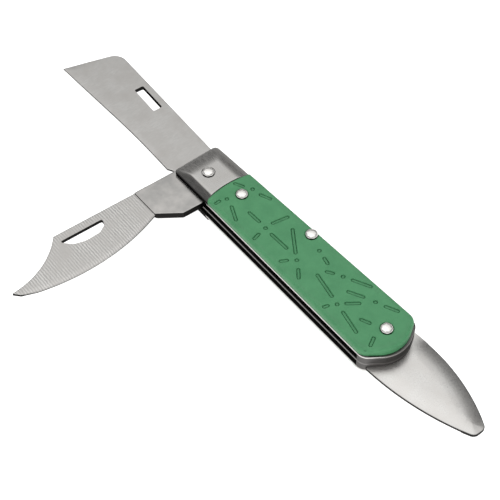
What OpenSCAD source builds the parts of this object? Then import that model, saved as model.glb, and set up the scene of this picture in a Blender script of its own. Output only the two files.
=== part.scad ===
// Folding grafting and whittling knife: a tapered handle with a straight blade, a hooked
// pruning blade and a fixed bark lifter.
// Frame: millimetres, Z up through the thickness. The knife lies on its back side at z = 0,
// the axis of the blade pivot is at x = y = 0, +X runs to the tip of the opened straight
// blade, and the blades fold out of the open side, +Y. The backsprings close the -Y side.

/* [Handle] */
// Length of the handle, from the front of the bolsters to the rounded end
handle_len = 100; // [98:1:104]
// Width of the handle at the front of the bolsters
front_w = 17.6; // [17:0.2:18.4]
// Width of the handle at the rounded end
rear_w = 21.7; // [21.2:0.1:22.4]
// Distance from the blade pivot to the front of the bolsters
front_x = 9; // [8.6:0.1:9.6]
// Distance from the blade pivot to the open edge of the handle
open_y = 7.5; // [7.2:0.1:7.8]
// Thickness of a grip cover and of a bolster
cover_t = 2.5; // [2:0.1:3]
// Thickness of each of the three liners
liner_t = 0.8; // [0.6:0.1:1]
// Thickness of a backspring, which is the height of a blade well
spring_t = 2.6; // [2.4:0.1:3]
// Distance that a grip cover stops short of the rounded end
cover_short = 0.7; // [0.3:0.1:0.9]
// Rounding of the outer edges of the front grip cover
cover_round = 1.2; // [0.8:0.1:1.4]
// Width of the crowned edges of the back grip cover
back_round = 1.6; // [1.2:0.1:2]
// Distance that the back grip cover is set in from its liner
back_inset = 0.5; // [0.2:0.1:0.8]
// Length of the slope at the front of a bolster
bolster_slope = 4.8; // [3.6:0.1:5.2]
// Width of the sloping sides of a bolster
bolster_bevel = 2; // [1.6:0.1:2.4]
// Height that the front and sides of a bolster fall
bolster_drop = 1.7; // [1:0.1:1.8]

/* [Rivets] */
// Radius of the blade pivot
pivot_r = 1.5; // [1.3:0.05:1.6]
// Radius of the spring pin and the end pin
pin_r = 1.25; // [1.1:0.05:1.3]
// Radius of a domed rivet head
head_r = 2.2; // [2.1:0.05:2.3]
// Height of a domed rivet head above the surface
head_h = 0.8; // [0.6:0.05:1]
// Distance from the blade pivot back to the end pin
end_pin_x = 83.5; // [83:0.1:84]
// Distance from the blade pivot back to the spring pin
spring_pin_x = 41.5; // [40:0.5:43]
// Distance from the blade pivot back to the two cover pins
cover_pin_x = 14.4; // [14:0.1:15]

/* [Blades] */
// Thickness of a blade at its tang
tang_t = 2.5; // [2.3:0.05:2.5]
// Distance from the pivot to the tip corner of the straight blade
straight_len = 77; // [75:0.5:77]
// Distance from the pivot to the tip of the hook blade
hook_len = 76; // [74:0.5:76.5]
// Angle of the hook blade as it stands, from fully open; 90 is its half stop
hook_angle = 90; // [0:1:175]
// Angle of the straight blade as it stands, from fully open
straight_angle = 0; // [0:1:175]

/* [Bark lifter] */
// Distance from the rounded end of the handle to the tip of the lifter
lifter_len = 33.4; // [30:0.2:36]
// Thickness of the lifter along its middle
lifter_t = 2; // [1.6:0.1:2.2]

/* [Hidden] */
$fn = 48;

// Levels through the thickness, from the back up
lower_well_z = cover_t + liner_t;
centre_z = lower_well_z + spring_t;
upper_well_z = centre_z + liner_t;
front_liner_z = upper_well_z + spring_t;
front_cover_z = front_liner_z + liner_t;
total_t = front_cover_z + cover_t;

rear_x = front_x - handle_len;
fit = 0.03;          // gap around a rivet in the pieces that it holds still
run = 0.05;          // gap between a blade and the pivot or the liners
cam_r = 6.9;         // radius of a tang where it rides on its spring
cam_flat = 6.82;     // distance from the pivot to the flats of a tang
spring_face = 6.95;  // distance from the pivot to the spring
joint_r = 34;        // radius of the curved end of a grip cover
joint_x = -7.8;      // foremost point of that curve
recess = 0.25;       // depth of the ring around a rivet head
recess_r = head_r + 0.25;
tail_flare = 0.8;    // width and depth of the countersink of a flush rivet tail
bolster_pin_r = 0.8; // radius of the hidden pins that key a bolster to its liner

pivot_at = [0, 0];
end_pin_at = [-end_pin_x, -4.2];
spring_pin_at = [-spring_pin_x, spring_side(-spring_pin_x) + 2.3];
cover_pin_at = [-cover_pin_x, -2.8];
bolster_pins_at = [[-4.6, 3.6], [-4.6, -6.6]];

// y of the spring side of the handle, which widens to the rear
function spring_side(x) = open_y - front_w - (front_x - x) * (rear_w - front_w) / handle_len;

// Outlines are rows of [x, y, corner radius]; a row with no radius is a sharp corner
function unit(v) = v / norm(v);
function corner(a, b, c, n) =
  b[2] == 0 || b[2] == undef ? [[b.x, b.y]] :
  let (
    p = [b.x, b.y],
    u = unit([a.x, a.y] - p),
    v = unit([c.x, c.y] - p),
    half = acos(u * v) / 2,
    mid = p + unit(u + v) * b[2] / sin(half),
    first = p + u * b[2] / tan(half) - mid,
    last = p + v * b[2] / tan(half) - mid,
    a0 = atan2(first.y, first.x),
    turn = (atan2(last.y, last.x) - a0 + 540) % 360 - 180
  )
  [for (i = [0 : n]) mid + b[2] * [cos(a0 + turn * i / n), sin(a0 + turn * i / n)]];
function outline(rows, n = 6) = [
  for (i = [0 : len(rows) - 1])
    for (p = corner(rows[(i + len(rows) - 1) % len(rows)], rows[i], rows[(i + 1) % len(rows)], n)) p];
function arc(mid, r, a0, a1, n = 12) =
  [for (i = [0 : n]) mid + r * [cos(a0 + (a1 - a0) * i / n), sin(a0 + (a1 - a0) * i / n)]];

// The rounded end of the handle, walked from the open edge round to the spring side
rear_rows = [
  [rear_x + 5.4, open_y, 4],
  [rear_x - 2.4, -3.2, 11],
  [rear_x + 4.1, spring_side(rear_x + 4.1), 4]];

// Flat shapes

module handle_plan() {
  polygon(outline(concat(
    [[front_x, spring_side(front_x), 1.6], [front_x, open_y, 1]], rear_rows), 8));
}

// Everything behind the curved joint between bolster and grip cover
module cover_zone(inset = 0) {
  translate([joint_x - joint_r, -1.5]) circle(r = joint_r - inset, $fn = 180);
  translate([rear_x - 20, -30]) square([50, 60]);
}

// A cover stops just short of its liner at the rounded end
module cover_plan(inset = 0, joint_inset = 0) {
  intersection() {
    offset(delta = -inset) handle_plan();
    translate([cover_short, 0]) offset(delta = -inset) handle_plan();
    cover_zone(joint_inset);
  }
}

// Level top of a bolster
module bolster_top() {
  x0 = front_x - bolster_slope;
  x1 = joint_x - 3;
  polygon([
    [x0, spring_side(x0) + bolster_bevel], [x0, open_y - bolster_bevel],
    [x1, open_y - bolster_bevel], [x1, spring_side(x1) + bolster_bevel]]);
}

module slot(length, width, r, depth) {
  linear_extrude(depth)
    polygon(outline([
      [-length / 2, -width / 2, r], [length / 2, -width / 2, r],
      [length / 2, width / 2, r], [-length / 2, width / 2, r]]));
}

// Placing

module to_back() {
  translate([0, 0, total_t]) mirror([0, 0, 1]) children();
}

module at(p, z = 0) {
  translate([p.x, p.y, z]) children();
}

module hole(p, r, z0 = -1, z1 = total_t + 1) {
  at(p, z0) cylinder(r = r, h = z1 - z0);
}

// Room for a rivet: its shank, and the shallow ring around its head
module rivet_room(p, r) {
  hole(p, r + fit);
  hole(p, recess_r, total_t - recess);
}

// Room for a tail peened flush in a countersink at z = 0
module tail_room(p, r) {
  hole(p, r + fit);
  at(p, -0.01) cylinder(r1 = r + tail_flare, r2 = r + fit, h = tail_flare + 0.01);
}

// Grip pattern: short sunk rods set loosely in stars around dots.
// Each row is [x, y, length, angle]; a row of length 0 is a dot.
grip_rods = [
  [-12.8, 2.2, 0, 0], [-12, 5.4, 1.4, 90], [-19, 4.2, 5.6, 156], [-10.6, -4.6, 2.8, 27],
  [-14.8, -7, 0, 0], [-20, -8.2, 3.6, 22],
  [-30.2, 0, 0, 0], [-24.4, 0, 4.8, 2], [-37, 0, 7.2, 2], [-30.6, -5.8, 5.4, 79],
  [-31, 4.4, 2.2, 103],
  [-46.4, 0.4, 0, 0], [-40, -3.8, 9.4, 146], [-44, 3.8, 2, 60], [-50.8, 3.4, 3.2, 142],
  [-48, -7.6, 0, 0], [-52.4, -6.6, 2.2, 167],
  [-60.4, -6.8, 0, 0], [-59.4, 0, 9, 169], [-56.6, -4.6, 2, 34], [-66, -9.6, 6, 27],
  [-67.2, 1.6, 0, 0], [-65.6, 4.8, 1.2, 73], [-70, -2.4, 4, 53], [-74.6, 3, 8, 168],
  [-68, -5.4, 5, 28], [-74, -8.2, 0, 0], [-79, -10.4, 4, 26], [-77.4, -1, 2.8, 24],
  [-84.2, 2.4, 2.8, 118]];

module grip_pattern() {
  depth = 0.35;
  for (g = grip_rods) {
    w = g[2] == 0 ? 0.65 : 0.55;
    translate([g.x, g.y, total_t - depth]) rotate([0, 0, g[3]]) {
      for (side = [-1, 1]) translate([side * g[2] / 2, 0, 0]) cylinder(r = w, h = 1, $fn = 24);
      if (g[2] > 0) translate([-g[2] / 2, -w, 0]) cube([g[2], 2 * w, 1]);
    }
  }
}

// Handle

// A cover whose edges are crowned over a width and a depth; 0.3 of both is halfway round
module cover(inset, width, depth) {
  difference() {
    hull() {
      translate([0, 0, front_cover_z]) linear_extrude(cover_t - depth) cover_plan(inset, 0.03);
      translate([0, 0, total_t - depth * 0.3])
        linear_extrude(0.01) cover_plan(inset + width * 0.3, 0.1);
      translate([0, 0, total_t - 0.01]) linear_extrude(0.01) cover_plan(inset + width, 0.3);
    }
    grip_pattern();
    children();
  }
}

module front_cover() {
  color("mediumseagreen") cover(0, cover_round, cover_round) {
    rivet_room(cover_pin_at, pin_r);
    rivet_room(spring_pin_at, pin_r);
    rivet_room(end_pin_at, pin_r);
  }
}

module back_cover() {
  color("mediumseagreen") to_back() cover(back_inset, back_round, cover_t - 0.4) {
    to_back() tail_room(cover_pin_at, pin_r);
    to_back() tail_room(spring_pin_at, pin_r);
    to_back() tail_room(end_pin_at, pin_r);
  }
}

module bolster() {
  difference() {
    hull() {
      translate([0, 0, front_cover_z]) linear_extrude(cover_t - bolster_drop)
        intersection() {
          handle_plan();
          translate([joint_x - 3, -30]) square([40, 60]);
        }
      translate([0, 0, total_t - 0.01]) linear_extrude(0.01) bolster_top();
    }
    linear_extrude(total_t + 1) cover_zone();
    for (p = bolster_pins_at) hole(p, bolster_pin_r + fit, 0, front_cover_z + 1.2);
    children();
  }
}

module front_bolster() {
  color("silver") bolster() rivet_room(pivot_at, pivot_r);
}

module back_bolster() {
  color("silver") to_back() bolster() to_back() tail_room(pivot_at, pivot_r);
}

module liner(z) {
  difference() {
    translate([0, 0, z]) linear_extrude(liner_t) handle_plan();
    hole(pivot_at, pivot_r + fit);
    hole(spring_pin_at, pin_r + fit);
    hole(end_pin_at, pin_r + fit);
    children();
  }
}

module front_liner() {
  color("gainsboro") liner(front_liner_z) {
    at(cover_pin_at, front_liner_z - 0.01)
      cylinder(r1 = pin_r + 0.6, r2 = pin_r + fit, h = liner_t + 0.02);
    for (p = bolster_pins_at) hole(p, bolster_pin_r + fit);
  }
}

module centre_liner() {
  color("gainsboro") liner(centre_z);
}

module back_liner() {
  color("gainsboro") liner(cover_t) {
    at(cover_pin_at, cover_t - 0.01)
      cylinder(r1 = pin_r + fit, r2 = pin_r + 0.6, h = liner_t + 0.02);
    for (p = bolster_pins_at) hole(p, bolster_pin_r + fit);
  }
}

// Backsprings: a pad under the tang, a thin flexing arm, a boss around the spring pin,
// a second arm, and a butt that fills the end of the handle
spring_rows = [
  [1.6, -spring_face, 0.3],
  [-12.5, -spring_face, 1],
  [-17, spring_side(-17) + 2.5, 6],
  [-31, spring_side(-31) + 2.9, 6],
  [-37, -7.7, 3],
  [-46, -7.7, 3],
  [-52, spring_side(-52) + 3.3, 6],
  [-78.3, spring_side(-78.3) + 3.8, 1.5],
  [-78.3, -2, 6],
  [-84, open_y + 1]];

module spring_plan() {
  intersection() {
    handle_plan();
    polygon(outline(concat(spring_rows, [[-100, open_y + 1], [-100, -20], [1.6, -20]])));
  }
}

module spring(z) {
  difference() {
    translate([0, 0, z]) linear_extrude(spring_t) spring_plan();
    hole(spring_pin_at, pin_r + fit);
    hole(end_pin_at, pin_r + fit);
  }
}

module hook_backspring() {
  color("darkgray") spring(upper_well_z);
}

// Tongue of the bark lifter, from inside the handle to its bullet-shaped tip. Its two sides
// are long bows that are widest where they leave the handle.
lifter_tip_x = rear_x - lifter_len;
module lifter_plan(inset = 0) {
  spring_bow = 63;
  open_bow = 94.2;
  offset(delta = -inset) polygon(outline(concat(
    [[rear_x + 4.5, spring_side(rear_x + 4.5) + 0.1]],
    arc([rear_x - 3.8, spring_bow - 15], spring_bow, -87.5, -114.5),
    [[lifter_tip_x, -7.3, 2.4], [lifter_tip_x, -2.9, 2.4]],
    arc([rear_x + 7.6, 6.6 - open_bow], open_bow, 113, 92))));
}

// The lower spring and the bark lifter are one stamping
module lifter_backspring() {
  color("silver") difference() {
    union() {
      translate([0, 0, lower_well_z]) linear_extrude(spring_t) spring_plan();
      translate([0, 0, lower_well_z + 0.3]) hull() {
        linear_extrude(0.5) lifter_plan();
        linear_extrude(lifter_t * 0.7) lifter_plan(1.6);
        linear_extrude(lifter_t) lifter_plan(4);
      }
    }
    hole(spring_pin_at, pin_r + fit);
    hole(end_pin_at, pin_r + fit);
  }
}

// Blades, drawn fully open: +X to the tip, -Y the back of the blade

// Round tang with a flat for each place where the spring holds the blade
module tang_plan() {
  intersection() {
    circle(r = cam_r, $fn = 96);
    translate([-cam_flat, -cam_flat]) square([cam_flat + 10, 2 * cam_flat]);
  }
}

// A blade blank: full thickness up to x = step, then a wedge that is back_t thick at the
// back of the blade and edge_t thick at the cutting edge, its top face top_gap lower
module blade_blank(step, back_t, edge_t, top_gap) {
  top = tang_t - top_gap;
  grind_w = 21;  // width that the wedge is ground over
  difference() {
    linear_extrude(tang_t) children();
    translate([step, -30, top]) cube([100, 60, 5]);
    // ground away from below, more towards the cutting edge
    translate([step, -13, -5]) rotate([atan((back_t - edge_t) / grind_w), 0, 0])
      translate([0, -20, 0]) cube([100, 60, 5 + top - back_t]);
  }
}

module straight_plan() {
  tang_plan();
  polygon(outline([
    [0, -5], [1.75, -5], [1.75, -10.1, 0.4],
    [straight_len - 6.6, -13, 5.2],
    [straight_len, 7.5],
    [34, 6, 350],
    [14.7, 6.6, 0.2], [12.7, 5.4, 0.6], [11.4, 6.8, 0.4], [0, 6.8]], 10));
}

// The back of the blade is clipped by a hollow curve, and the cutting edge is one long bow
module hook_plan() {
  clip_r = 29;
  belly_r = 73;
  belly = arc([49.5, 6 - belly_r], belly_r, 73.5, 111, 16);
  difference() {
    union() {
      tang_plan();
      polygon(outline(concat(
        [[0, 6.8], [0, -5], [1.75, -5], [1.75, -9.6, 0.4], [54.6, -12.3, 0.3],
         [hook_len + 0.6, -12.3], [hook_len + 0.6, -1.2], [hook_len - 1.2, 0.9, 2]],
        belly,
        [[22.7, 1], [15.4, 6.4, 0.5], [9, 6.8]])));
    }
    translate([hook_len + 0.8, -1.4 - clip_r]) circle(r = clip_r, $fn = 120);
  }
}

module on_pivot(z, angle) {
  translate([0, 0, z + run]) rotate([0, 0, angle]) children();
}

module straight_blade() {
  color("lightgray") on_pivot(lower_well_z, straight_angle) difference() {
    blade_blank(16, 2, 0.4, 0) straight_plan();
    cylinder(r = pivot_r + run, h = 20, center = true);
    translate([45.6, -7.8, -1]) rotate([0, 0, -3]) slot(12.6, 3.6, 0.5, 5);
  }
}

module hook_blade() {
  color("lightgray") on_pivot(upper_well_z, hook_angle) difference() {
    blade_blank(23, 1.7, 0.5, 0.4) hook_plan();
    cylinder(r = pivot_r + run, h = 20, center = true);
    translate([0, 0, -1]) linear_extrude(5) polygon(outline([
      [37.6, -8.4, 0.6], [54, -9.2, 0.6], [49.6, -4.5, 3], [40.6, -4.5, 2.5]]));
  }
}

// Rivets

// A rivet with a domed head on the front and a tail peened flush at z = 0
module rivet(p, r) {
  at(p) rotate_extrude($fn = 64) polygon(concat(
    [[0, 0], [r + tail_flare - 0.05, 0], [r, tail_flare - 0.05], [r, total_t - recess],
     [head_r, total_t - recess]],
    dome(total_t)));
}

// Profile of a domed head from its rim at the surface to its top
function dome(z) =
  let (ball_r = (head_r * head_r + head_h * head_h) / (2 * head_h), a = asin(head_r / ball_r))
  [for (i = [6 : -1 : 0]) [ball_r * sin(a * i / 6), z + head_h - ball_r * (1 - cos(a * i / 6))]];

module pivot_pin() {
  color("whitesmoke") rivet(pivot_at, pivot_r);
}

module spring_pin() {
  color("whitesmoke") rivet(spring_pin_at, pin_r);
}

module end_pin() {
  color("whitesmoke") rivet(end_pin_at, pin_r);
}

// Short rivets that hold a cover to its liner, because the blades close past them
module front_cover_pin() {
  z0 = front_liner_z;
  color("whitesmoke") at(cover_pin_at) rotate_extrude($fn = 64) polygon(concat(
    [[0, z0], [pin_r + 0.55, z0], [pin_r, z0 + liner_t - 0.1], [pin_r, total_t - recess],
     [head_r, total_t - recess]],
    dome(total_t)));
}

module back_cover_pin() {
  z1 = lower_well_z;
  color("whitesmoke") at(cover_pin_at) rotate_extrude($fn = 64) polygon([
    [0, 0], [pin_r + tail_flare - 0.05, 0], [pin_r, tail_flare - 0.05],
    [pin_r, z1 - liner_t + 0.1],
    [pin_r + 0.55, z1], [0, z1]]);
}

// Hidden pins that key a bolster to its liner
module bolster_pins() {
  for (p = bolster_pins_at) at(p, front_liner_z) cylinder(r = bolster_pin_r, h = liner_t + 1.15);
}

module front_bolster_pins() {
  color("gray") bolster_pins();
}

module back_bolster_pins() {
  color("gray") to_back() bolster_pins();
}

front_cover();
back_cover();
front_bolster();
back_bolster();
front_liner();
centre_liner();
back_liner();
hook_backspring();
lifter_backspring();
straight_blade();
hook_blade();
pivot_pin();
spring_pin();
end_pin();
front_cover_pin();
back_cover_pin();
front_bolster_pins();
back_bolster_pins();
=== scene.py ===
# Looks of a folding grafting and whittling knife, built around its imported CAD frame.
# Shapes are worked out in millimetres, in the frame's own axes, and become metres in piece().

import math

import bpy
import numpy as np
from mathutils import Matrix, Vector
from mathutils.geometry import delaunay_2d_cdt


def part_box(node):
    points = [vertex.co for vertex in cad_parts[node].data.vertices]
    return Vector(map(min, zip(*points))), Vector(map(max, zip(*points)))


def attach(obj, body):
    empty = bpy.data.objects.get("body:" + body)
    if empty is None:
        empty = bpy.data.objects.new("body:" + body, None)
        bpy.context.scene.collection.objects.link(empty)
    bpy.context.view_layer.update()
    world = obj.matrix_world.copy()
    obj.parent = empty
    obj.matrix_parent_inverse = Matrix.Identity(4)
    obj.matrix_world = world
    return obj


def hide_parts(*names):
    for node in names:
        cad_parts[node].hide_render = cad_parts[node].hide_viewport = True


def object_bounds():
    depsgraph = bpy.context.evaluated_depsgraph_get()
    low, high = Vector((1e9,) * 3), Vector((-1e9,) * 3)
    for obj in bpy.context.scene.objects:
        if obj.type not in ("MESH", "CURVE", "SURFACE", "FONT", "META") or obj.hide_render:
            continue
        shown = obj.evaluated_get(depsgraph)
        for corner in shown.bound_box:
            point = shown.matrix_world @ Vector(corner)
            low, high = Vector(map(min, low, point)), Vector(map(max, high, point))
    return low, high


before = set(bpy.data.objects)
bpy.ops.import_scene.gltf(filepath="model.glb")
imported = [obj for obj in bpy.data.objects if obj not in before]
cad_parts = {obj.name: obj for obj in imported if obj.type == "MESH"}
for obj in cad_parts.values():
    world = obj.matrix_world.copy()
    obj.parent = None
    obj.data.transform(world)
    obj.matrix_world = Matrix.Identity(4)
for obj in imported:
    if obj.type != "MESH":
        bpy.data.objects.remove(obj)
cad_low, cad_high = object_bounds()

MM = 0.001


def levels(node):
    low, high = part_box(node)
    return low.z / MM, high.z / MM


def middle(node):
    low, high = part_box(node)
    return np.array([(low.x + high.x) / 2 / MM, (low.y + high.y) / 2 / MM])


# Handle, in millimetres. The blade pivot is at x = y = 0 and the blades fold out of +Y.
front_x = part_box("front_liner")[1].x / MM
open_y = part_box("front_liner")[1].y / MM
handle_len = 100
front_w = 17.6
rear_w = 21.7
rear_x = front_x - handle_len
total_t = levels("front_cover")[1]
centre_z = total_t / 2
cover_short = 0.7        # a grip cover stops this far before the rounded end
joint_centre = np.array([-41.8, -1.5])
joint_r = 34             # curved joint between a cover and its bolster
joint_gap = 0.05
bolster_slope = 7        # length of the bow at the front of a bolster
bolster_bevel = 2.4      # width of its chamfer on the open side
bolster_bow = 5          # width of the bow on its spring side
bolster_drop = 1.7
head_r = 2.05
head_h = 0.8
head_lump = 0.07
recess = 0.25            # depth of the ring around a rivet head
recess_r = head_r + 0.25
recess_wall = 0.12       # width of the slope at its edge
fit = 0.03
pivot_r = 1.5
pin_r = 1.25
tail_flare = 0.8
tail_fit = 0.05
spring_face = 6.95
cam_r = 6.9

pins = {n: middle(n) for n in ("pivot_pin", "spring_pin", "end_pin", "front_cover_pin")}

# Sunk rods and dots of the grip: x, y, length, angle in degrees. Length 0 is a dot.
grip_rods = [
    (-12.8, 2.2, 0, 0), (-12, 5.4, 1.4, 90), (-19, 4.2, 5.6, 156), (-10.6, -4.6, 2.8, 27),
    (-14.8, -7, 0, 0), (-20, -8.2, 3.6, 22),
    (-30.2, 0, 0, 0), (-24.4, 0, 4.8, 2), (-37, 0, 7.2, 2), (-30.6, -5.8, 5.4, 79),
    (-31, 4.4, 2.2, 103),
    (-46.4, 0.4, 0, 0), (-40, -3.8, 9.4, 146), (-44, 3.8, 2, 60), (-50.8, 3.4, 3.2, 142),
    (-48, -7.6, 0, 0), (-52.4, -6.6, 2.2, 167),
    (-60.4, -6.8, 0, 0), (-59.4, 0, 9, 169), (-56.6, -4.6, 2, 34), (-66, -9.6, 6, 27),
    (-67.2, 1.6, 0, 0), (-65.6, 4.8, 1.2, 73), (-70, -2.4, 4, 53), (-74.6, 3, 8, 168),
    (-68, -5.4, 5, 28), (-74, -8.2, 0, 0), (-79, -10.4, 4, 26), (-77.4, -1, 2.8, 24),
    (-84.2, 2.4, 2.8, 118)]


rod_rim = 0.7
rod_groove = 0.5         # the deepest line, all round a rod
rod_inner = 0.3
rod_depth = 0.42
rod_raise = 0.2          # the floor inside that line stands this much higher
dot_extra = 0.1          # a dot's rings are this much wider


# Outlines: rows of (x, y) or (x, y, corner radius), walked counterclockwise

def unit(v):
    return v / np.linalg.norm(v)


def corner(before, row, after, steps):
    """The points of one corner: a single point, or an arc where the row has a radius."""
    p = np.array(row[:2], float)
    if len(row) < 3:
        return [p]
    u = unit(np.array(before[:2]) - p)
    v = unit(np.array(after[:2]) - p)
    half = math.acos(float(u @ v)) / 2
    mid = p + unit(u + v) * row[2] / math.sin(half)
    first = p + u * row[2] / math.tan(half) - mid
    last = p + v * row[2] / math.tan(half) - mid
    start = math.atan2(first[1], first[0])
    turn = (math.atan2(last[1], last[0]) - start + 3 * math.pi) % (2 * math.pi) - math.pi
    angles = [start + turn * i / steps for i in range(steps + 1)]
    return [mid + row[2] * np.array([math.cos(a), math.sin(a)]) for a in angles]


def outline(rows, steps):
    n = len(rows)
    return np.array([p for i in range(n)
                     for p in corner(rows[i - 1], rows[i], rows[(i + 1) % n], steps)])


def arc(mid, r, start, end, steps):
    """Points of an arc, angles in degrees."""
    angles = np.radians(np.linspace(start, end, steps + 1))
    return [(mid[0] + r * math.cos(a), mid[1] + r * math.sin(a)) for a in angles]


def ring(mid, r, steps=40):
    return np.array(arc(mid, r, 0, 360, steps)[:-1])


def spring_side(x):
    return open_y - front_w - (front_x - x) * (rear_w - front_w) / handle_len


def rear_rows(short=0, inset=0):
    """The rounded end of the handle, from the open side round to the spring side."""
    return [
        (rear_x + 5.4 + short + 0.5 * inset, open_y - inset, 4),
        (rear_x - 2.4 + short + 1.2 * inset, -3.2, 11),
        (rear_x + 4.1 + short + 0.5 * inset, spring_side(rear_x + 4.1) + inset, 4)]


front_rows = [(front_x, spring_side(front_x), 1.6), (front_x, open_y, 1)]


def handle_plan():
    return outline(front_rows + rear_rows(), 14)


def joint_arc(inset, gap):
    """The curved joint from the spring side to the open side, gap mm behind the true curve."""
    r = joint_r - gap
    low = spring_side(-9) + inset
    high = open_y - inset
    ys = np.linspace(low, high, 37)
    return [(joint_centre[0] + math.sqrt(r * r - (y - joint_centre[1]) ** 2), y) for y in ys]


def cover_plan(inset):
    return outline(rear_rows(cover_short, inset) + joint_arc(inset, joint_gap), 14)


def bolster_plan():
    return outline(front_rows + joint_arc(0, 0)[::-1], 14)


spring_rows = [
    (1.6, spring_side(1.6)), (1.6, -spring_face, 0.3), (-12.5, -spring_face, 1),
    (-17, spring_side(-17) + 2.5, 6), (-31, spring_side(-31) + 2.9, 6),
    (-37, -7.7, 3), (-46, -7.7, 3),
    (-52, spring_side(-52) + 3.3, 6), (-78.3, spring_side(-78.3) + 3.8, 1.5),
    (-78.3, -2, 6), (-83.45, open_y)]

tip_x = rear_x - 33.4
lifter_spring_side = arc((rear_x - 3.8, 48), 63, -87.5, -114.5, 24)
lifter_open_side = arc((rear_x + 7.6, -87.6), 94.2, 113, 92, 24)
lifter_rows = ([(rear_x + 4.5, spring_side(rear_x + 4.5) + 0.1)] + lifter_spring_side
               + [(tip_x, -7.3, 2.4), (tip_x, -2.9, 2.4)] + lifter_open_side)

# Blades as they lie fully open, -Y the back of the blade
tang_x = 1.75            # the round of a tang ends at this step
straight_rows = [
    (tang_x, -10.1, 0.4), (70.4, -13, 5.2), (77, 7.5), (34, 6, 350),
    (14.7, 6.6, 0.2), (12.7, 5.4, 0.6), (11.4, 6.8, 0.4), (0, 6.82)]
belly_circle = ((49.5, -67), 73)
hook_rows = (
    [(tang_x, -9.6, 0.4)]
    + arc((76.8, -30.4), 29, 141.35, 90.4, 30)
    + [(76.6, -1.2), (74.8, 0.9, 2)]
    + arc(*belly_circle, 73.5, 111, 24)
    + [(22.7, 1), (15.4, 6.4, 0.5), (9, 6.82), (0, 6.82)])
slot_rows = [(-6.3, -1.8, 0.5), (6.3, -1.8, 0.5), (6.3, 1.8, 0.5), (-6.3, 1.8, 0.5)]
nail_rows = [(37.6, -8.4, 0.6), (54, -9.2, 0.5), (50.8, -5.7, 4), (46.8, -4.3, 8),
             (41.3, -4.3, 2.4), (38.3, -6, 1.6)]


def blade_plan(rows):
    """A blade's outline with the round of its tang, which rides on the spring."""
    end = 360 - math.degrees(math.acos(tang_x / cam_r))
    return outline(rows + arc((0, 0), cam_r, 100, end, 40), 10)


# Flat geometry

def area(loop):
    x, y = loop[:, 0], loop[:, 1]
    return float(x @ np.roll(y, -1) - y @ np.roll(x, -1)) / 2


def split_edges(loop, pitch):
    """The loop with points added so that no edge is longer than pitch."""
    points = []
    for a, b in zip(loop, np.roll(loop, -1, axis=0)):
        length = np.linalg.norm(b - a)
        if length < 1e-4:
            continue
        n = max(1, math.ceil(length / pitch))
        points += [a + (b - a) * i / n for i in range(n)]
    return np.array(points)


def shifted(loop, distance):
    """The loop moved to its left, which is inwards on a counterclockwise one."""
    ahead = np.roll(loop, -1, axis=0) - loop
    ahead /= np.linalg.norm(ahead, axis=1)[:, None]
    behind = np.roll(ahead, 1, axis=0)
    along = ahead + behind
    along /= np.maximum(np.linalg.norm(along, axis=1), 1e-6)[:, None]
    left = np.stack([-along[:, 1], along[:, 0]], 1)
    stretch = np.maximum((along * ahead).sum(1), 0.4)
    return loop + left * (distance / stretch)[:, None]


def path_distance(points, path, closed=True):
    """Distance from each point to the nearest place on a path."""
    a = path if closed else path[:-1]
    b = np.roll(path, -1, axis=0) if closed else path[1:]
    best = np.full(len(points), 1e9)
    d = b - a
    dd = np.maximum((d * d).sum(1), 1e-12)
    for i in range(0, len(points), 400):
        p = points[i:i + 400, None, :] - a[None]
        t = np.clip((p * d).sum(2) / dd, 0, 1)
        away = p - t[:, :, None] * d
        best[i:i + 400] = np.sqrt((away * away).sum(2).min(1))
    return best


def inside(points, loop):
    """Which points lie in the loop."""
    x, y = points[:, 0][:, None], points[:, 1][:, None]
    a, b = loop, np.roll(loop, -1, axis=0)
    crosses = (a[:, 1] > y) != (b[:, 1] > y)
    rise = np.where(b[:, 1] == a[:, 1], 1e-12, b[:, 1] - a[:, 1])
    at = a[:, 0] + (y - a[:, 1]) * (b[:, 0] - a[:, 0]) / rise
    return (crosses & (x < at)).sum(1) % 2 == 1


def hex_grid(loop, pitch):
    low, high = loop.min(0), loop.max(0)
    rows = np.arange(low[1], high[1], pitch * 0.866)
    points = [(x + (i % 2) * pitch / 2, y) for i, y in enumerate(rows)
              for x in np.arange(low[0], high[0], pitch)]
    return np.array(points)


def rounding(distance, width, depth):
    """How far a surface falls at a distance in from an edge with an elliptical round."""
    t = np.clip(1 - distance / width, 0, 1)
    return depth * (1 - np.sqrt(1 - t * t))


def round_rings(width):
    return [width * t for t in (0.05, 0.16, 0.36, 0.64, 1)]


def smooth(t):
    t = np.clip(t, 0, 1)
    return t * t * (3 - 2 * t)


# Solids

merge_within = 0.001     # points closer than this become one in a triangulation
ring_merge = 0.01        # the same for neighbours on a ring
sliver_area = 1e-5       # flat triangles along a straight border are left out below this


def off_holes(points, holes, gap):
    """Which points lie outside every hole, further than gap from its edge."""
    free = np.full(len(points), True)
    for hole in holes:
        free &= ~inside(points, hole) & (path_distance(points, hole) > gap)
    return free


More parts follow.
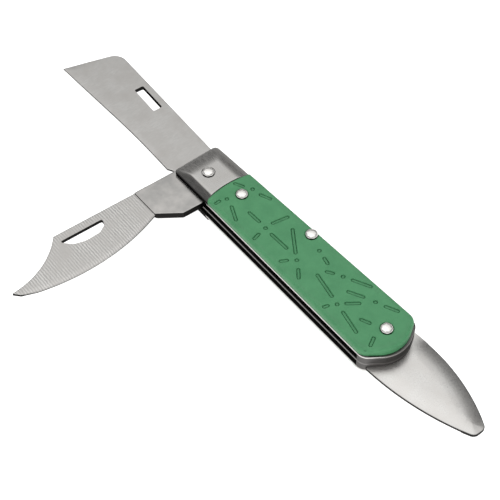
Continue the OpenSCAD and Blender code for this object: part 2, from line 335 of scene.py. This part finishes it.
def triangulate(plan, holes, rings, lines, pitch):
    """Points and triangles over a plan with holes, with edges along its rings and lines.

    Rings are distances in from the plan's edge, and lines are pairs of (points, closed)."""
    points, edges = [], []
    borders = [plan] + list(holes)
    for border in borders:
        ends = range(len(points), len(points) + len(border))
        points.extend(border)
        edges += list(zip(ends, [*ends[1:], ends[0]]))
    for distance in rings:
        loop = shifted(plan, distance)
        keep = (path_distance(loop, plan) > distance * 0.93) & inside(loop, plan)
        add_kept(points, edges, loop, keep & off_holes(loop, holes, 0.05), True)
    for line, closed in lines:
        keep = inside(line, plan) & (path_distance(line, plan) > 0.04)
        add_kept(points, edges, line, keep & off_holes(line, holes, 0.04), closed)
    grid = hex_grid(plan, pitch)
    grid = grid[inside(grid, plan)]
    margin = (rings[-1] if rings else 0) + pitch * 0.4
    grid = grid[path_distance(grid, plan) > margin]
    grid = grid[off_holes(grid, holes, pitch * 0.4)]
    for line, closed in lines:
        grid = grid[path_distance(grid, line, closed) > pitch * 0.3]
    points.extend(grid)
    found = delaunay_2d_cdt([Vector(p) for p in points], edges, [], 0, merge_within)
    flat = np.array([tuple(v) for v in found[0]])
    faces = np.array([f for f in found[2] if len(f) == 3])
    a, b, c = flat[faces[:, 0]], flat[faces[:, 1]], flat[faces[:, 2]]
    centre = (a + b + c) / 3
    keep = inside(centre, plan)
    for hole in holes:
        keep &= ~inside(centre, hole)
    u, v = b - a, c - a
    cross = u[:, 0] * v[:, 1] - u[:, 1] * v[:, 0]
    to_border = np.min([path_distance(flat, border) for border in borders], axis=0)
    on_border = (to_border < 2 * merge_within)[faces].all(1)
    sliver = on_border & (np.abs(cross) < sliver_area)
    return flat, faces[keep & ~sliver]


def add_kept(points, edges, loop, keep, closed):
    """Adds the kept points of a loop, and the edges between neighbours that are both kept."""
    index = {}
    for i, p in enumerate(loop):
        if not keep[i]:
            continue
        if i - 1 in index and np.linalg.norm(p - points[index[i - 1]]) < ring_merge:
            index[i] = index[i - 1]
            continue
        index[i] = len(points)
        points.append(p)
    n = len(loop)
    for i in range(n if closed else n - 1):
        j = (i + 1) % n
        if i in index and j in index and index[i] != index[j]:
            edges.append((index[i], index[j]))


def sheet_solid(plan, top, bottom, holes=(), rings=(), lines=(), pitch=1.5, edge_pitch=0.8):
    """A closed solid between two heights, each a function of points and distance to the edge."""
    plan = split_edges(plan, edge_pitch)
    if area(plan) < 0:
        plan = plan[::-1]
    flat, faces = triangulate(plan, holes, rings, lines, pitch)
    distance = path_distance(flat, plan)
    distance[distance < 1e-3] = 0
    high = top(flat, distance)
    low = bottom(flat, distance)
    n = len(flat)
    verts = np.concatenate([np.column_stack([flat, high]), np.column_stack([flat, low])])
    directed = {(f[i], f[(i + 1) % 3]) for f in faces.tolist() for i in range(3)}
    walls = [(a, a + n, b + n, b) for a, b in directed if (b, a) not in directed]
    tops = [tuple(f) for f in faces.tolist()]
    unders = [(f[2] + n, f[1] + n, f[0] + n) for f in faces.tolist()]
    return verts, tops + unders + sorted(walls)


def level(z):
    return lambda p, d: np.full(len(p), float(z))


def lathe(profile, mid, lump=0):
    """A closed solid turned from a profile of (radius, height) that starts and ends on the axis.

    lump is how uneven it is between half a head's radius and its rim, which takes in the
    shank. The unevenness differs with the place."""
    steps = 56
    verts, faces, rows = [], [], []
    for r, z in profile:
        if r < 1e-6:
            rows.append([len(verts)])
            verts.append((mid[0], mid[1], z))
            continue
        rows.append(list(range(len(verts), len(verts) + steps)))
        for i in range(steps):
            a = 2 * math.pi * i / steps
            wave = math.cos(7 * a + mid[0]) + 0.6 * math.cos(3 * a + 2 * mid[0])
            rr = r + (lump * wave if 0.5 * head_r < r < 0.97 * head_r else 0)
            verts.append((mid[0] + rr * math.cos(a), mid[1] + rr * math.sin(a), z))
    for low, high in zip(rows, rows[1:]):
        for i in range(steps):
            j = (i + 1) % steps
            if len(low) == 1:
                faces.append((low[0], high[j], high[i]))
            elif len(high) == 1:
                faces.append((low[i], low[j], high[0]))
            else:
                faces.append((low[i], low[j], high[j], high[i]))
    return np.array(verts), faces


def piece(name, shape, material, body, nodes, sharp=38):
    """Makes a mesh object that rides on a body and stands for CAD nodes."""
    verts, faces = shape
    mesh = bpy.data.meshes.new(name)
    mesh.from_pydata([tuple(v) for v in verts * MM], [], faces)
    mesh.validate()
    mesh.update()
    mesh.polygons.foreach_set("use_smooth", [True] * len(mesh.polygons))
    mesh.set_sharp_from_angle(angle=math.radians(sharp))
    made = bpy.data.objects.new(name, mesh)
    bpy.context.scene.collection.objects.link(made)
    mesh.materials.append(material)
    weighted = made.modifiers.new("weighted_normals", "WEIGHTED_NORMAL")
    weighted.keep_sharp = True
    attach(made, body)
    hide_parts(*nodes)


# Materials

def node(tree, kind, inputs=(), **settings):
    made = tree.nodes.new(kind)
    for key, value in settings.items():
        setattr(made, key, value)
    for name, value in dict(inputs).items():
        if isinstance(value, bpy.types.NodeSocket):
            tree.links.new(value, made.inputs[name])
        else:
            made.inputs[name].default_value = value
    return made


def principled(name, metallic, roughness):
    material = bpy.data.materials.new(name)
    material.use_nodes = True
    shader = material.node_tree.nodes["Principled BSDF"]
    shader.inputs["Metallic"].default_value = metallic
    shader.inputs["Roughness"].default_value = roughness
    return material, material.node_tree, shader


def rgb(value, tint=(1, 1, 1)):
    return (value * tint[0], value * tint[1], value * tint[2], 1)


def streaks(tree, place, scale, detail=3):
    """Noise drawn out by a scale along each axis, in cycles per metre."""
    mapped = node(tree, "ShaderNodeMapping", {"Vector": place, "Scale": scale})
    noise = node(tree, "ShaderNodeTexNoise", {
        "Vector": mapped.outputs["Vector"], "Scale": 1, "Detail": detail, "Roughness": 0.6})
    return noise.outputs["Fac"]


def ranged(tree, value, a, b, low, high):
    made = node(tree, "ShaderNodeMapRange", {
        "Value": value, "From Min": a, "From Max": b, "To Min": low, "To Max": high})
    return made.outputs["Result"]


def blended(tree, factor, a, b):
    made = tree.nodes.new("ShaderNodeMix")
    made.data_type = "RGBA"
    for socket, value in ((made.inputs["Factor"], factor), (made.inputs[6], a), (made.inputs[7], b)):
        if isinstance(value, bpy.types.NodeSocket):
            tree.links.new(value, socket)
        else:
            socket.default_value = value
    return made.outputs[2]


def ground(tree, place, lines, start, pitch):
    """Regular wheel marks across a blade, mixed with its brush lines, past y = start."""
    wave = node(tree, "ShaderNodeTexWave", {
        "Vector": place, "Scale": math.pi / 10 / pitch, "Distortion": 2.5, "Detail": 2,
        "Detail Scale": 3}, bands_direction="Y")
    marks = blended(tree, 0.55, wave.outputs["Fac"], lines)
    axes = node(tree, "ShaderNodeSeparateXYZ", {"Vector": place})
    past = ranged(tree, axes.outputs["Y"], start - 0.0001, start + 0.0001, 0, 1)
    return blended(tree, past, (0.28, 0.28, 0.28, 1), marks)


steel_tint = (1, 0.985, 0.955)


def steel(name, shade, grain, roughness, side, contrast=0.1, bump=0.05, mottle=0.03,
          side_z=(0.25, 0.8), grind=None, shadow_past_x=None):
    """Ground steel: brush lines along one axis, soft stains, and painted shade on the sides.

    grain is the frequency of the brush lines along x, y and z, in cycles per metre.
    side is the colour of the sides, where the normal's z is under side_z, mostly a painted shade for
    the dark they mirror.
    grind is where wheel marks across a blade start, and their pitch, in metres.
    Past the x in the last argument, where a plate lies between bolsters, its sides are painted black
    as a painted shadow."""
    material, tree, shader = principled(name, 1, roughness)
    shader.inputs["Specular Tint"].default_value = rgb(0.3)
    where = node(tree, "ShaderNodeTexCoord")
    place = where.outputs["Object"]
    lines = streaks(tree, place, grain)
    if grind is not None:
        lines = ground(tree, place, lines, *grind)
    stains = streaks(tree, place, (160, 160, 160), 4)
    light = blended(tree, ranged(tree, lines, 0.3, 0.7, 0, 1),
                    rgb(shade * (1 - contrast), steel_tint),
                    rgb(shade * (1 + contrast), steel_tint))
    stained = blended(tree, ranged(tree, stains, 0.35, 0.7, 0, 1), light,
                      rgb(shade * (1 - mottle * 2), (1, 0.97, 0.93)))
    # Painted shade: the colour falls to side where the normal's z is under side_z.
    axes = node(tree, "ShaderNodeSeparateXYZ", {"Vector": where.outputs["Normal"]})
    upright = node(tree, "ShaderNodeMath", {0: axes.outputs["Z"]}, operation="ABSOLUTE")
    flat = ranged(tree, upright.outputs[0], side_z[0], side_z[1], 0, 1)
    edge = rgb(side, (1, 0.97, 0.95))
    # Painted shadow: past this x the sides go black.
    if shadow_past_x is not None:
        along = node(tree, "ShaderNodeSeparateXYZ", {"Vector": place})
        past = ranged(tree, along.outputs["X"], shadow_past_x - 0.0005, shadow_past_x + 0.0005, 0, 1)
        edge = blended(tree, past, edge, rgb(0.02))
    colour = blended(tree, flat, edge, stained)
    tree.links.new(colour, shader.inputs["Base Color"])
    rough = ranged(tree, lines, 0.3, 0.7, roughness - 0.05, roughness + 0.08)
    tree.links.new(rough, shader.inputs["Roughness"])
    relief = node(tree, "ShaderNodeBump", {
        "Height": lines, "Strength": bump, "Distance": 0.0001})
    tree.links.new(relief.outputs["Normal"], shader.inputs["Normal"])
    return material


def green_plastic():
    """Moulded satin plastic, with painted shade where its outer face is sunk in the outlines of the
    rods.

    The rims of a cover fall away as far as the rods do, and are kept from the painted shade by their
    depth and by their place near the open side and the rounded end."""
    material, tree, shader = principled("green_plastic", 0, 0.5)
    shader.inputs["Specular IOR Level"].default_value = 0.3
    where = node(tree, "ShaderNodeTexCoord")
    place = where.outputs["Object"]
    clouds = streaks(tree, place, (220, 220, 220), 4)
    grain = streaks(tree, place, (5200, 5200, 5200), 2)
    base = blended(tree, ranged(tree, clouds, 0.3, 0.7, 0, 1),
                   (0.044, 0.172, 0.075, 1), (0.057, 0.204, 0.091, 1))
    axes = node(tree, "ShaderNodeSeparateXYZ", {"Vector": place})
    height = node(tree, "ShaderNodeMath", {0: axes.outputs["Z"], 1: centre_z * MM},
                  operation="SUBTRACT")
    away = node(tree, "ShaderNodeMath", {0: height.outputs[0]}, operation="ABSOLUTE")
    surface = centre_z * MM
    # Painted shade: the colour darkens with depth below the outer face, in the sunk rods and the
    # rings round the rivets.
    unshaded = ranged(tree, away.outputs[0], surface - 0.0004, surface - 0.00018, 0.12, 1)
    deepest = surface - rod_depth * MM
    rim_y, rim_x = 0.0063, -0.0853
    rims = (ranged(tree, away.outputs[0], deepest - 0.0001, deepest - 0.00002, 1, 0),
            ranged(tree, axes.outputs["Y"], rim_y, rim_y + 0.0001, 0, 1),
            ranged(tree, axes.outputs["X"], rim_x - 0.0003, rim_x, 1, 0))
    for rim in rims:
        either = node(tree, "ShaderNodeMath", {0: unshaded, 1: rim}, operation="MAXIMUM")
        unshaded = either.outputs[0]
    shaded = blended(tree, unshaded, (0.014, 0.07, 0.028, 1), base)
    tree.links.new(shaded, shader.inputs["Base Color"])
    tree.links.new(ranged(tree, grain, 0.3, 0.7, 0.44, 0.56), shader.inputs["Roughness"])
    relief = node(tree, "ShaderNodeBump", {
        "Height": grain, "Strength": 0.12, "Distance": 0.00005})
    tree.links.new(relief.outputs["Normal"], shader.inputs["Normal"])
    return material


# Grip covers

def rod_axis(row):
    x, y, length, angle = row
    a = math.radians(angle)
    half = np.array([math.cos(a), math.sin(a)]) * length / 2
    return np.array([[x, y] - half, [x, y] + half])


def rod_loop(row, r):
    """A capsule at distance r round a rod's axis."""
    x, y, length, angle = row
    if length == 0:
        return ring((x, y), r, 20)
    ends = arc((length / 2, 0), r, -90, 90, 10) + arc((-length / 2, 0), r, 90, 270, 10)
    a = math.radians(angle)
    turn = np.array([[math.cos(a), math.sin(a)], [-math.sin(a), math.cos(a)]])
    return split_edges(np.array(ends) @ turn + [x, y], 0.8)


def rod_drop(points):
    """How far the surface falls into the sunk rods."""
    drop = np.zeros(len(points))
    for row in grip_rods:
        wide = dot_extra if row[2] == 0 else 0
        away = path_distance(points, rod_axis(row), closed=False) - wide
        outer = smooth((rod_rim - away) / (rod_rim - rod_groove))
        inner = smooth((rod_groove - away) / (rod_groove - rod_inner))
        drop = np.maximum(drop, rod_depth * outer - rod_raise * inner)
    return drop


def rod_lines():
    lines = []
    for row in grip_rods:
        wide = dot_extra if row[2] == 0 else 0
        for r in (rod_rim, 0.6, rod_groove, 0.4, rod_inner):
            lines.append((rod_loop(row, r + wide), True))
    return lines


def pin_away(points, at):
    return np.linalg.norm(points - at, axis=1)


cover_pins = [pins["front_cover_pin"], pins["spring_pin"], pins["end_pin"]]


def recess_drop(points, at):
    """The shallow ring sunk round a rivet head."""
    t = (recess_r + recess_wall / 2 - pin_away(points, at)) / recess_wall
    return recess * smooth(t)


def recess_lines(at):
    return [(ring(at, recess_r + side * recess_wall / 2), True) for side in (1, -1)]


def tail_drop(points, at, r):
    """The countersink that a flush rivet tail fills."""
    return np.clip(r + tail_flare + fit - pin_away(points, at), 0, tail_flare)


def tail_lines(at, r):
    return [(ring(at, r + tail_flare + fit), True), (ring(at, r + 0.4), True)]


def side_path(plan):
    """The outline of a cover without its curved joint."""
    off_joint = np.linalg.norm(plan - joint_centre, axis=1) > joint_r + 0.02
    behind = plan[:, 0] < -12
    return plan[off_joint | behind]


def cover_fall(plan, inset, width, depth):
    """How far a cover's outer face falls, from its edges, its joint and its sunk rods."""
    path = side_path(plan)
    ends = joint_arc(inset, joint_gap)
    path = np.concatenate([[ends[-1]], path, [ends[0]]])

    def fall(points, distance):
        side = rounding(path_distance(points, path, closed=False), width, depth)
        to_joint = joint_r - joint_gap - np.linalg.norm(points - joint_centre, axis=1)
        lip = np.where(points[:, 0] > -20, rounding(np.maximum(to_joint, 0), 0.35, 0.3), 0)
        return np.maximum(side, lip) + rod_drop(points)
    return fall


def front_cover(material):
    inset, width = 0.12, 1.2
    plan = cover_plan(inset)
    low, high = levels("front_cover")
    fall = cover_fall(plan, inset, width, width)

    def top(points, distance):
        ringed = np.max([recess_drop(points, at) for at in cover_pins], axis=0)
        return np.maximum(high - fall(points, distance) - ringed, low + 0.2)

    lines = rod_lines()
    for at in cover_pins:
        lines += recess_lines(at)
    holes = [ring(at, pin_r + fit, 24) for at in cover_pins]
    shape = sheet_solid(plan, top, level(low), holes, round_rings(width), lines, 1.3, 0.7)
    piece("grip_front", shape, material, "handle", ["front_cover"])


def back_cover(material):
    inset, width = 0.5, 1.6
    plan = cover_plan(inset)
    low, high = levels("back_cover")
    fall = cover_fall(plan, inset, width, high - low - 0.4)

    def bottom(points, distance):
        sunk = np.max([tail_drop(points, at, pin_r) for at in cover_pins], axis=0)
        return np.minimum(low + np.maximum(fall(points, distance), sunk), high - 0.2)

    lines = rod_lines()
    for at in cover_pins:
        lines += tail_lines(at, pin_r)
    holes = [ring(at, pin_r + fit, 24) for at in cover_pins]
    shape = sheet_solid(plan, level(high), bottom, holes, round_rings(width), lines, 1.3, 0.7)
    piece("grip_back", shape, material, "handle", ["back_cover"])


# Bolsters

def bolster_fall(points, distance):
    """The front and the spring side of a bolster bow down, and its open side is chamfered.

    The three falls are joined as a soft maximum, and the chamfer starts with a soft bend."""
    x, y = points[:, 0], points[:, 1]
    front = np.clip((x - front_x) / bolster_slope + 1, 0, 1)
    chamfer = (y - open_y) / bolster_bevel + 1
    bend = 0.12
    chamfer = (np.sqrt(chamfer ** 2 + bend ** 2) + chamfer) / 2
    bowed = np.clip(1 - (y - spring_side(x)) / bolster_bow, 0, 1)
    falls = (bolster_drop * front ** 1.6, bolster_drop * chamfer,
             0.95 * bolster_drop * bowed ** 1.7)
    power = 4
    total = sum(fall ** power for fall in falls) ** (1 / power)
    return np.minimum(total, bolster_drop + 0.1) + rounding(distance, 0.3, 0.25)


def bolster_lines():
    """Lines along the slopes, close together where the surface bends."""
    n = 40
    xs = np.linspace(-9, front_x - 0.6, n)
    across = np.linspace(spring_side(front_x) + 0.5, open_y - 0.5, n)
    front = [np.column_stack([np.full(n, front_x - dx), across]) for dx in (0.8, 1.6, 2.8, 4.4)]
    chamfer = [np.column_stack([xs, np.full(n, open_y - bolster_bevel + dy)])
               for dy in (-0.3, -0.1, 0.1, 0.3)]
    bowed = [np.column_stack([xs, spring_side(xs) + dy]) for dy in (0.6, 1.1, 1.9, 3.1)]
    return [(line, False) for line in front + chamfer + bowed]


def front_bolster(material):
    low, high = levels("front_bolster")
    at = pins["pivot_pin"]

    def top(points, distance):
        return high - bolster_fall(points, distance) - recess_drop(points, at)

    lines = bolster_lines() + recess_lines(at)
    shape = sheet_solid(bolster_plan(), top, level(low), [ring(at, pivot_r + fit, 32)],
                        round_rings(0.3), lines, 0.55, 0.4)
    piece("bolster_front", shape, material, "handle", ["front_bolster"])


def back_bolster(material):
    low, high = levels("back_bolster")
    at = pins["pivot_pin"]

    def bottom(points, distance):
        sunk = tail_drop(points, at, pivot_r)
        return low + np.maximum(bolster_fall(points, distance), sunk)

    lines = bolster_lines() + tail_lines(at, pivot_r)
    shape = sheet_solid(bolster_plan(), level(high), bottom, [ring(at, pivot_r + fit, 32)],
                        round_rings(0.3), lines, 0.55, 0.4)
    piece("bolster_back", shape, material, "handle", ["back_bolster"])


# Liners and backsprings

def flat_plate(name, plan, cad, holes, width, material):
    """A plate in the place of a CAD node, its outer edges broken by a small round."""
    low, high = levels(cad)
    shape = sheet_solid(
        plan,
        lambda p, d: high - rounding(d, width, width),
        lambda p, d: low + rounding(d, width, width),
        holes, [width * 0.3, width], (), 3, 1.2)
    piece(name, shape, material, "handle", [cad])


def liners(outer, centre):
    long_pins = [(pins["pivot_pin"], pivot_r), (pins["spring_pin"], pin_r), (pins["end_pin"], pin_r)]
    short_pin = [(pins["front_cover_pin"], pin_r)]
    for name, extra in (("front", short_pin), ("centre", []), ("back", short_pin)):
        holes = [ring(at, r + fit, 32) for at, r in long_pins + extra]
        flat_plate("liner_" + name, handle_plan(), name + "_liner", holes, 0.2,
                   centre if name == "centre" else outer)


def spring_plan():
    return outline(spring_rows + rear_rows(), 10)


def backsprings(material):
    holes = [ring(pins[n], pin_r + fit, 32) for n in ("spring_pin", "end_pin")]
    for name, cad in (("upper", "hook_backspring"), ("lower", "lifter_backspring")):
        flat_plate("backspring_" + name, spring_plan(), cad, holes, 0.18, material)


def lifter(material):
    """The crowned, bullet-shaped tongue of the bark lifter."""
    low = levels("lifter_backspring")[0] + 0.3
    plan = outline(lifter_rows, 18)
    free = plan[plan[:, 0] < rear_x + 4.5]
    crown_w = 7
    shoulder_w = 7.5
    shoulder_edge = np.array(lifter_spring_side)
    open_edge = np.array(lifter_open_side)

    def top(points, distance):
        d = path_distance(points, free, closed=False)
        crown = 1 - np.clip(1 - d / crown_w, 0, 1) ** 2
        away = path_distance(points, shoulder_edge, closed=False)
        shoulder = np.clip(1 - away / shoulder_w, 0, 1) ** 2
        surface = low + 1.05 + 0.5 * crown - 0.8 * shoulder
        return surface - rounding(d, 0.25, 0.15)

    def bottom(points, distance):
        under = np.clip(1 - path_distance(points, open_edge, closed=False) / 0.8, 0, 1)
        edge = rounding(path_distance(points, free, closed=False), 0.4, 0.06)
        return low + np.maximum(edge, 0.4 * under)

    rings = [0.05, 0.1, 0.2, 0.4, 0.8, 1.3, 2, 2.8, 3.8, 5, 6.5]
    shape = sheet_solid(plan, top, bottom, (), rings, (), 1.2, 0.6)
    piece("bark_lifter", shape, material, "handle", ["lifter_backspring"], 50)


# Blades

def plunge(y):
    """Where the grinding of the straight blade starts: nearer the pivot at its cutting edge."""
    return 15.4 - 5.6 * smooth((y + 1) / 5)


def straight_blade(material):
    low, high = levels("straight_blade")
    plan = blade_plan(straight_rows)
    a = math.radians(-3)
    turn = np.array([[math.cos(a), math.sin(a)], [-math.sin(a), math.cos(a)]])
    slot = outline(slot_rows, 6) @ turn + [45.6, -7.8]
    slot = split_edges(slot, 0.8)

    def top(points, distance):
        x, y = points[:, 0], points[:, 1]
        cutting = smooth((x - 18) / 4) * smooth((y + 2) / 6)
        bevel = np.clip(1 - distance / 1.8, 0, 1) * 0.09 * cutting
        return high - rounding(distance, 0.16, 0.12) - bevel

    def bottom(points, distance):
        x, y = points[:, 0], points[:, 1]
        wedge = high - (2 - 1.45 * np.clip((y + 13) / 21, 0, 1))
        past = smooth((x - plunge(y)) / 1.2)
        return low * (1 - past) + wedge * past

    step = np.linspace(-12, 7.6, 40)
    lines = [(np.column_stack([plunge(step) + dx, step]), False) for dx in (0, 0.6, 1.2)]
    shape = sheet_solid(plan, top, bottom, [ring((0, 0), pivot_r + 0.05, 40), slot],
                        [0.04, 0.1, 0.2, 0.9, 1.8], lines, 1.6, 0.7)
    piece("blade_straight", shape, material, "straight", ["straight_blade"])


def hook_blade(material):
    low, high = levels("hook_blade")
    plan = blade_plan(hook_rows)
    nail = split_edges(outline(nail_rows, 8), 0.8)
    face = high - 0.4
    step_x = 23              # the face steps down here, and the back is ground from plunge_x
    plunge_x = 22.4

    def top(points, distance):
        past = smooth((points[:, 0] - step_x + 0.03) / 0.06)
        belly = path_distance(points, belly_path, closed=False)
        bevel = np.clip(1 - belly / 1.1, 0, 1) * 0.26 * past
        return high - (high - face) * past - rounding(distance, 0.14, 0.1) - bevel

    def bottom(points, distance):
        x, y = points[:, 0], points[:, 1]
        belly = path_distance(points, belly_path, closed=False)
        wedge = face - (1.7 - 1.2 * np.clip((y + 13) / 21, 0, 1))
        wedge = wedge + 0.2 * np.clip(1 - belly / 1.5, 0, 1)
        past = smooth((x - plunge_x) / 1.2)
        return low * (1 - past) + wedge * past

    belly_path = np.array(arc(*belly_circle, 70.6, 111, 40))
    step = np.linspace(-13, 3, 40)
    lines = [(np.column_stack([np.full(40, x), step]), False)
             for x in (plunge_x, step_x - 0.03, step_x + 0.03, 23.6)]
    verts, faces = sheet_solid(plan, top, bottom, [ring((0, 0), pivot_r + 0.05, 40), nail],
                               [0.04, 0.14, 0.5, 1.1], lines, 1.5, 0.6)
    x, y, z = verts.T
    shape = np.column_stack([-y, x, z]), faces
    piece("blade_hook", shape, material, "hook", ["hook_blade"])


# Rivets

def head(r):
    """A struck head on a shank: an upright rim, a tight round and a flattish top."""
    rows = ((1, 0.12), (0.98, 0.3), (0.93, 0.46), (0.85, 0.59), (0.7, 0.69), (0.45, 0.76),
            (0.2, 0.79), (0, head_h))
    seat = total_t - recess
    return ([(r, seat), (head_r - 0.1, seat), (head_r, seat + 0.1)]
            + [(head_r * wide, total_t + up) for wide, up in rows])


def tail(r):
    """A flush tail from the axis out to its flare and in to the shank."""
    rim = r + tail_flare - tail_fit
    return [(0, 0.02), (rim * 0.6, 0.01), (rim - 0.12, 0.02), (rim, 0.12), (r, tail_flare)]


def rivets(material):
    rows = (("pivot_pin", pivot_r, "rivet_pivot"), ("spring_pin", pin_r, "rivet_spring"),
            ("end_pin", pin_r, "rivet_end"))
    for name, r, label in rows:
        shape = lathe(tail(r) + head(r), pins[name], head_lump)
        piece(label, shape, material, "handle", [name], 55)
    low = levels("front_cover_pin")[0]
    foot = [(0, low), (pin_r + 0.5, low), (pin_r, low + 0.6)]
    shape = lathe(foot + head(pin_r), pins["front_cover_pin"], head_lump)
    piece("rivet_cover_front", shape, material, "handle", ["front_cover_pin"], 55)
    high = levels("back_cover_pin")[1]
    foot = [(pin_r, high - 0.6), (pin_r + 0.5, high), (0, high)]
    shape = lathe(tail(pin_r) + foot, pins["front_cover_pin"])
    piece("rivet_cover_back", shape, material, "handle", ["back_cover_pin"], 55)


def hidden_pins(material):
    """The bolster pins keep their CAD meshes, and take the rivets' steel."""
    for name in ("front_bolster_pins", "back_bolster_pins"):
        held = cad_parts[name]
        held.data.materials.clear()
        held.data.materials.append(material)


# Studio

def floor():
    material, tree, shader = principled("pale_floor", 0, 0.9)
    where = node(tree, "ShaderNodeTexCoord")
    clouds = streaks(tree, where.outputs["Object"], (6, 6, 6), 2)
    shade = blended(tree, clouds, (0.45, 0.45, 0.45, 1), (0.465, 0.465, 0.46, 1))
    tree.links.new(shade, shader.inputs["Base Color"])
    tree.links.new(shade, shader.inputs["Emission Color"])
    shader.inputs["Emission Strength"].default_value = 1.9
    shader.inputs["Specular IOR Level"].default_value = 0.1
    mesh = bpy.data.meshes.new("floor")
    size = 6
    corners = [(-size, -size, 0), (size, -size, 0), (size, size, 0), (-size, size, 0)]
    mesh.from_pydata(corners, [], [(0, 1, 2, 3)])
    mesh.materials.append(material)
    made = bpy.data.objects.new("floor", mesh)
    made.location.z = cad_low.z - 0.0002
    bpy.context.scene.collection.objects.link(made)


def studio_world():
    """One broad soft light over the knife, dark flags round it, and a pale room.

    The ramp runs over the cosine of the angle to the middle of the light."""
    world = bpy.data.worlds.new("studio")
    bpy.context.scene.world = world
    world.use_nodes = True
    tree = world.node_tree
    where = node(tree, "ShaderNodeTexCoord")
    toward = Vector((0.3, -0.16, 0.94)).normalized()
    near = node(tree, "ShaderNodeVectorMath", {0: where.outputs["Generated"], 1: toward},
                operation="DOT_PRODUCT")
    ramp = node(tree, "ShaderNodeValToRGB", {"Fac": near.outputs["Value"]})
    ramp.color_ramp.interpolation = "EASE"
    stops = ramp.color_ramp.elements
    stops[0].position, stops[0].color = 0, rgb(0.85)
    stops[1].position, stops[1].color = 0.99, rgb(1)
    for at, shade in ((0.4, 0.6), (0.57, 0.17), (0.76, 0.16), (0.93, 0.74)):
        stops.new(at).color = rgb(shade)
    path = node(tree, "ShaderNodeLightPath")
    colour = blended(tree, path.outputs["Is Camera Ray"], ramp.outputs["Color"],
                     (0.6, 0.6, 0.6, 1))
    background = tree.nodes["Background"]
    tree.links.new(colour, background.inputs["Color"])
    background.inputs["Strength"].default_value = 1.6


def area_light(name, place, size, power):
    """A round softbox that faces the middle of the handle and isn't mirrored in the steel."""
    data = bpy.data.lights.new(name, "AREA")
    data.shape = "DISK"
    data.size = size
    data.energy = power
    light = bpy.data.objects.new(name, data)
    light.location = place
    aim = Vector((-0.03, 0, 0)) - light.location
    light.rotation_euler = aim.to_track_quat("-Z", "Y").to_euler()
    light.visible_glossy = False
    bpy.context.scene.collection.objects.link(light)


def camera():
    data = bpy.data.cameras.new("camera")
    made = bpy.data.objects.new("camera", data)
    bpy.context.scene.collection.objects.link(made)
    azimuth, elevation = math.radians(231.34), math.radians(52.73)
    back = Vector((math.sin(azimuth) * math.cos(elevation),
                   -math.cos(azimuth) * math.cos(elevation), math.sin(elevation)))
    aim = Vector((-0.0303, 0.0065, centre_z * MM))
    distance = 0.4213
    made.location = aim + back * distance
    made.rotation_euler = (-back).to_track_quat("-Z", "Y").to_euler()
    data.sensor_width = 36
    data.lens = 93.57
    bpy.context.scene.camera = made


plastic = green_plastic()
# Painted shade: the low side values darken the steel's sides and, for the bolsters, the lifter and
# the rivets, their slopes and rims as well.
blade_steel = steel("blade_steel", 0.5, (6000, 600, 600), 0.36, side=0.02, contrast=0.15,
                    mottle=0.05)
hook_steel = steel("hook_steel", 0.5, (60, 2400, 60), 0.36, side=0.02,
                   contrast=0.34, bump=0.2, grind=(0.023, 0.0009))
bolster_steel = steel("bolster_steel", 0.45, (400, 2200, 400), 0.28, side=0.045, bump=0.02,
                      side_z=(0.7, 0.985))
# Painted shade: the liners' faces are dark so the wells read black, the centre liner's side is
# darker than the outer ones', and the sides under the bolsters take a painted black shadow.
liner_steel = steel("liner_steel", 0.12, (300, 300, 3000), 0.3, side=0.75, side_z=(0.05, 0.6),
                    shadow_past_x=-0.008)
centre_steel = steel("centre_steel", 0.12, (300, 300, 3000), 0.3, side=0.25, side_z=(0.05, 0.6))
spring_steel = steel("spring_steel", 0.3, (300, 300, 3000), 0.4, side=0.14)
lifter_steel = steel("lifter_steel", 0.61, (2400, 2400, 2400), 0.32, side=0.03,
                     side_z=(0.88, 0.995), contrast=0.14, bump=0.12)
rivet_steel = steel("rivet_steel", 0.8, (900, 900, 900), 0.22, side=0.05, side_z=(0.25, 0.7))

front_cover(plastic)
back_cover(plastic)
front_bolster(bolster_steel)
back_bolster(bolster_steel)
liners(liner_steel, centre_steel)
backsprings(spring_steel)
lifter(lifter_steel)
straight_blade(blade_steel)
hook_blade(hook_steel)
rivets(rivet_steel)
hidden_pins(rivet_steel)

floor()
studio_world()
area_light("ceiling_fill", (-0.1, 0.1, 1.6), 2.2, 10)
area_light("key", (0.5, -0.5, 1.1), 0.9, 4)
area_light("side_fill", (-0.45, 0.5, 0.6), 1, 3)
camera()
bpy.context.scene.view_settings.view_transform = "Standard"
